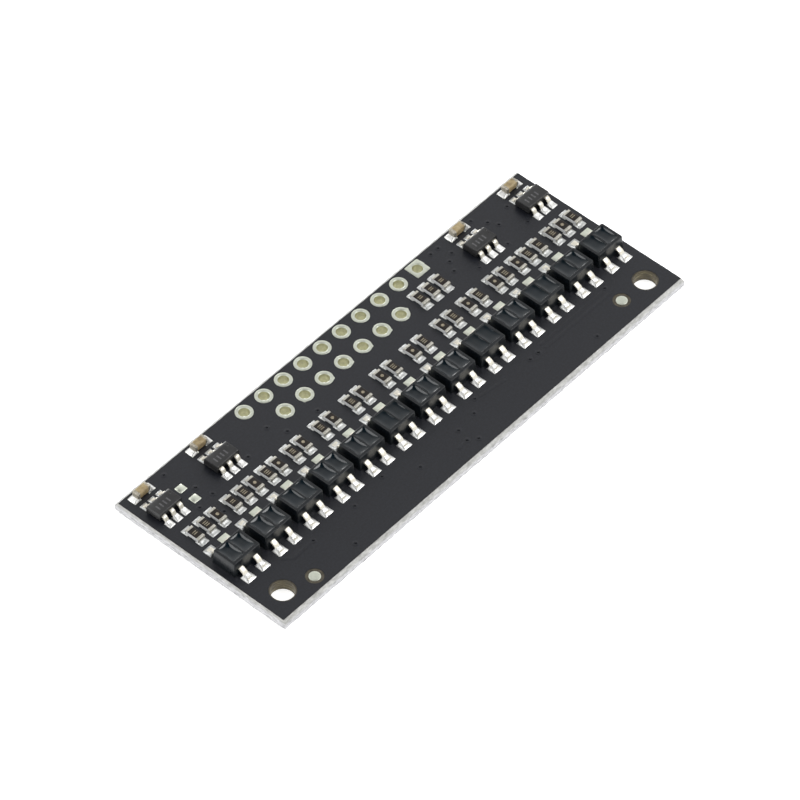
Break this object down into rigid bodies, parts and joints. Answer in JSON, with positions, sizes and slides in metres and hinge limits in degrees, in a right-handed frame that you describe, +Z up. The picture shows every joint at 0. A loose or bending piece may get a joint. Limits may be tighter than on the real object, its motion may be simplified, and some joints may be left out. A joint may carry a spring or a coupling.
{
  "type": "line-sensor array board",
  "caption": "Narrow circuit board carrying a row of infrared reflectance sensors with driver chips, chip resistors, header holes and corner mounting holes.",
  "frame": {"origin": "centre of the board's underside", "axes": "+X along the row of sensors towards the end with the square header pad, +Y towards the header edge, +Z up from the component side"},
  "size_m": [0.053, 0.02, 0.0027],
  "materials": {
    "laminate": "glass-epoxy core, fibrous along the snapped edge",
    "solder_mask": "satin charcoal-black solder mask",
    "tinned_copper": "flat tin finish on copper, slightly green-grey",
    "sensor_plastic": "matte dark grey moulding",
    "sensor_lead": "warm silver plated lead",
    "dark_epoxy": "glossy blue-black infrared epoxy",
    "die": "grey semiconductor",
    "chip_plastic": "matte charcoal moulding compound",
    "chip_lead": "matte tin",
    "capacitor_ceramic": "tan ceramic",
    "end_terminal": "dull tin",
    "resistor_ceramic": "white alumina",
    "resistor_overcoat": "brown-black glass with small cream marks",
    "solder": "bright reflowed solder"
  },
  "bodies": {
    "root": {"barrel_plating": "tinned_copper", "board_laminate": "laminate", "capacitor_bodies": "capacitor_ceramic", "capacitor_solder": "solder", "capacitor_terminals": "end_terminal", "chip_lands": "tinned_copper", "chip_solder": "solder", "detector_dies": "die", "detector_windows": "dark_epoxy", "driver_chip_1": "chip_plastic", "driver_chip_2": "chip_plastic", "driver_chip_3": "chip_plastic", "driver_chip_4": "chip_plastic", "driver_chip_leads_1": "chip_lead", "driver_chip_leads_2": "chip_lead", "driver_chip_leads_3": "chip_lead", "driver_chip_leads_4": "chip_lead", "emitter_dies": "die", "emitter_windows": "dark_epoxy", "fiducial_marks": "tinned_copper", "resistor_bodies": "resistor_ceramic", "resistor_glazes": "resistor_overcoat", "resistor_lands": "tinned_copper", "resistor_solder": "solder", "resistor_terminals": "end_terminal", "sensor_housing_01": "sensor_plastic", "sensor_housing_02": "sensor_plastic", "sensor_housing_03": "sensor_plastic", "sensor_housing_04": "sensor_plastic", "sensor_housing_05": "sensor_plastic", "sensor_housing_06": "sensor_plastic", "sensor_housing_07": "sensor_plastic", "sensor_housing_08": "sensor_plastic", "sensor_housing_09": "sensor_plastic", "sensor_housing_10": "sensor_plastic", "sensor_housing_11": "sensor_plastic", "sensor_housing_12": "sensor_plastic", "sensor_housing_13": "sensor_plastic", "sensor_lands": "tinned_copper", "sensor_leads_01": "sensor_lead", "sensor_leads_02": "sensor_lead", "sensor_leads_03": "sensor_lead", "sensor_leads_04": "sensor_lead", "sensor_leads_05": "sensor_lead", "sensor_leads_06": "sensor_lead", "sensor_leads_07": "sensor_lead", "sensor_leads_08": "sensor_lead", "sensor_leads_09": "sensor_lead", "sensor_leads_10": "sensor_lead", "sensor_leads_11": "sensor_lead", "sensor_leads_12": "sensor_lead", "sensor_leads_13": "sensor_lead", "sensor_solder": "solder", "solder_mask_bottom": "solder_mask", "solder_mask_top": "solder_mask", "spare_lands": "tinned_copper"}
  },
  "joints": []
}
